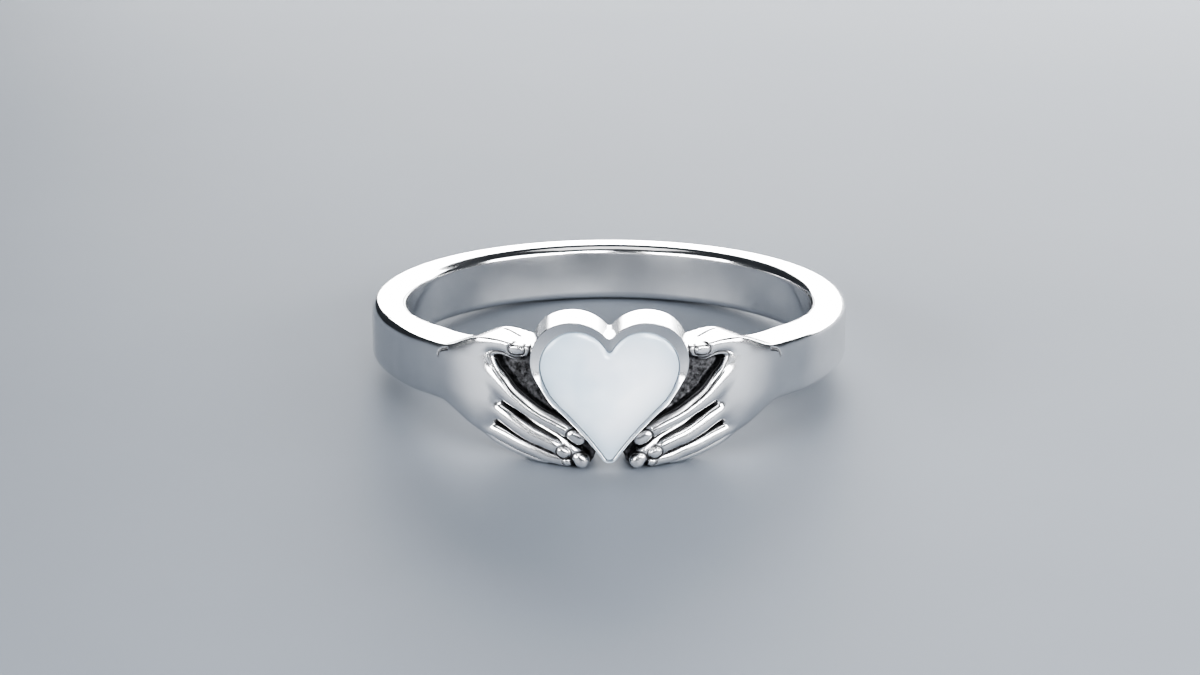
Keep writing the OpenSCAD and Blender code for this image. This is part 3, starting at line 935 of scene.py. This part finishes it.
def silver_material():
    """Polished silver: soft wear, fine scratches, black finish in the recesses, and painted shade on
    the lower walls under the thumbs.
    """
    material, nodes, links, shader = new_material("silver")
    place = nodes.new("ShaderNodeTexCoord").outputs["Object"]
    # Black finish in the hollows, with painted shade on the walls under the thumbs
    attribute = nodes.new("ShaderNodeAttribute")
    attribute.attribute_name = "tarnish_and_shade"
    patchy = noise(nodes, links, place, 5200, 4, 0.65)
    broad = noise(nodes, links, place, 700, 3)
    fine = noise(nodes, links, place, 9000, 2)
    stretch = nodes.new("ShaderNodeMapping")
    stretch.inputs["Rotation"].default_value = (0.3, 0.5, 0.4)
    stretch.inputs["Scale"].default_value = (1, 14, 14)
    links.new(place, stretch.inputs["Vector"])
    scratches = noise(nodes, links, stretch.outputs["Vector"], 1500, 2)
    # The black finish is worn off in patches
    worn = maths(nodes, links, "MULTIPLY_ADD", patchy, 0.5, -0.25)
    dark = maths(nodes, links, "ADD", attribute.outputs["Fac"], worn)
    dark = ramp(nodes, links, dark, [(0.30, grey(0)), (0.72, grey(1))])
    bright = ramp(nodes, links, broad, [(0.3, (0.80, 0.80, 0.81)),
                                        (0.7, (0.88, 0.88, 0.88))])
    black = ramp(nodes, links, patchy, [(0.35, (0.018, 0.018, 0.020)),
                                        (0.72, (0.22, 0.22, 0.23))])
    links.new(mix(nodes, links, "RGBA", dark, bright, black), shader.inputs["Base Color"])
    # The hands have a softer shine than the band behind them
    depth = nodes.new("ShaderNodeSeparateXYZ")
    links.new(place, depth.inputs["Vector"])
    hands = nodes.new("ShaderNodeMapRange")
    hands.inputs["From Min"].default_value = -0.0065
    hands.inputs["From Max"].default_value = -0.0085
    links.new(depth.outputs["Y"], hands.inputs["Value"])
    shine = mix(nodes, links, "FLOAT", broad, 0.12, 0.20)
    satin = mix(nodes, links, "FLOAT", broad, 0.19, 0.26)
    polish = mix(nodes, links, "FLOAT", hands.outputs["Result"], shine, satin)
    links.new(mix(nodes, links, "FLOAT", dark, polish, 0.55), shader.inputs["Roughness"])
    links.new(mix(nodes, links, "FLOAT", dark, 1.0, 0.75), shader.inputs["Metallic"])
    rough_height = mix(nodes, links, "FLOAT", dark, 0.0, patchy)
    scratch_height = mix(nodes, links, "FLOAT", 0.015, 0.0, scratches)
    height = maths(nodes, links, "ADD", rough_height, scratch_height)
    height = maths(nodes, links, "ADD", height, mix(nodes, links, "FLOAT", 0.012, 0.0, fine))
    bump = nodes.new("ShaderNodeBump")
    bump.inputs["Strength"].default_value = 0.5
    bump.inputs["Distance"].default_value = 0.00003
    links.new(height, bump.inputs["Height"])
    links.new(bump.outputs["Normal"], shader.inputs["Normal"])
    return material


def stone_material():
    """Milky polished stone: pale blue-grey to white, with faint pink clouds and painted shade
    towards its edge.
    """
    material, nodes, links, shader = new_material("stone")
    place = nodes.new("ShaderNodeTexCoord").outputs["Object"]
    clouds = noise(nodes, links, place, 260, 3, 0.5)
    pink = noise(nodes, links, place, 210, 2)
    fine = noise(nodes, links, place, 2500, 3)
    base = ramp(nodes, links, clouds, [(0.36, (0.50, 0.60, 0.68)), (0.62, (0.76, 0.81, 0.85))])
    blush = ramp(nodes, links, pink, [(0.45, grey(0)), (0.75, grey(0.5))])
    milk = mix(nodes, links, "RGBA", blush, base, (0.80, 0.74, 0.79, 1))
    # Painted shade: darker blue-grey towards the thin edge of the dome, standing for the seat's
    # shade seen through it
    attribute = nodes.new("ShaderNodeAttribute")
    attribute.attribute_name = "rise"
    rise = maths(nodes, links, "MULTIPLY_ADD", clouds, 0.3, -0.15)
    rise = maths(nodes, links, "ADD", attribute.outputs["Fac"], rise)
    thin = ramp(nodes, links, rise, [(0.30, grey(0.75)), (0.98, grey(0))])
    links.new(mix(nodes, links, "RGBA", thin, milk, (0.34, 0.42, 0.50, 1)),
              shader.inputs["Base Color"])
    links.new(mix(nodes, links, "FLOAT", fine, 0.16, 0.24), shader.inputs["Roughness"])
    shader.inputs["Subsurface Weight"].default_value = 0.35
    shader.inputs["Subsurface Radius"].default_value = (0.9, 1.0, 1.2)
    shader.inputs["Subsurface Scale"].default_value = 0.0006
    shader.inputs["Coat Weight"].default_value = 0.35
    shader.inputs["Coat Roughness"].default_value = 0.22
    bump = nodes.new("ShaderNodeBump")
    bump.inputs["Strength"].default_value = 0.15
    bump.inputs["Distance"].default_value = 0.00002
    links.new(fine, bump.inputs["Height"])
    links.new(bump.outputs["Normal"], shader.inputs["Normal"])
    return material


def floor_material():
    material, nodes, links, shader = new_material("floor")
    place = nodes.new("ShaderNodeTexCoord").outputs["Object"]
    soft = noise(nodes, links, place, 40, 3)
    links.new(ramp(nodes, links, soft, [(0.3, (0.185, 0.205, 0.235)), (0.7, (0.20, 0.22, 0.25))]),
              shader.inputs["Base Color"])
    shader.inputs["Roughness"].default_value = 0.6
    return material


# Camera, in the ring's own frame: where it stands, and how far it looks down on the band
CAMERA_AT = (-0.381, -154.185, 42.101)
CAMERA_DOWN = math.radians(15.495)
CAMERA_LENS = 111.47

# Area lights: name, place and target in mm, width and height in mm, watts, colour
LIGHTS = [("left", (-110, -86, 58), (0, 0, 5), (140, 62), 0.21, (1.0, 1.0, 1.0)),
          ("right", (110, -86, 58), (0, 0, 5), (140, 62), 0.21, (1.0, 1.0, 1.0)),
          ("back", (50, 135, 46), (0, 0, 3), (230, 80), 0.36, (1.0, 1.0, 1.0)),
          ("top", (0, -10, 160), (0, 0, 3), (130, 110), 0.05, (1.0, 1.0, 1.0)),
          ("front", (30, -140, 80), (0, 0, 3), (50, 40), 0.11, (0.97, 0.98, 1.0))]


def make_camera():
    camera = bpy.data.objects.new("camera", bpy.data.cameras.new("camera"))
    bpy.context.scene.collection.objects.link(camera)
    camera.location = at_rest(np.array([CAMERA_AT]))[0]
    camera.rotation_euler = (math.pi / 2 - CAMERA_DOWN - TILT, 0, 0)
    camera.data.lens = CAMERA_LENS
    camera.data.sensor_width = 36
    camera.data.clip_start = 0.01
    camera.data.clip_end = 10
    bpy.context.scene.camera = camera


def make_light(name, place, target, size, watts, colour):
    data = bpy.data.lights.new(name, "AREA")
    data.shape = "RECTANGLE"
    data.size = size[0] * MM
    data.size_y = size[1] * MM
    data.energy = watts
    data.color = colour
    light = bpy.data.objects.new(name, data)
    bpy.context.scene.collection.objects.link(light)
    light.location = Vector(place) * MM
    way = Vector(target) - Vector(place)
    light.rotation_euler = way.to_track_quat("-Z", "Y").to_euler()


def make_world():
    world = bpy.data.worlds.new("studio")
    bpy.context.scene.world = world
    world.use_nodes = True
    background = world.node_tree.nodes["Background"]
    background.inputs["Color"].default_value = (0.50, 0.55, 0.62, 1)
    background.inputs["Strength"].default_value = 0.10


def make_floor():
    half = 600 * MM
    corners = np.array([(-half, -half, 0), (half, -half, 0), (half, half, 0), (-half, half, 0)])
    floor = new_object("floor", corners, [(0, 1, 2, 3)], floor_material())


make_camera()
silver = silver_material()
stone = stone_material()

casting = make_casting(silver)
cup = make_cup(silver)
bpy.context.view_layer.update()
for piece in (casting, cup):
    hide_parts("ring_casting")
    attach(piece, "root")

cabochon = make_stone(stone)
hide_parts("heart_stone")
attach(cabochon, "root")

make_floor()
make_world()
for row in LIGHTS:
    make_light(*row)
bpy.context.scene.view_settings.view_transform = "AgX"
bpy.context.scene.view_settings.look = "AgX - Very High Contrast"
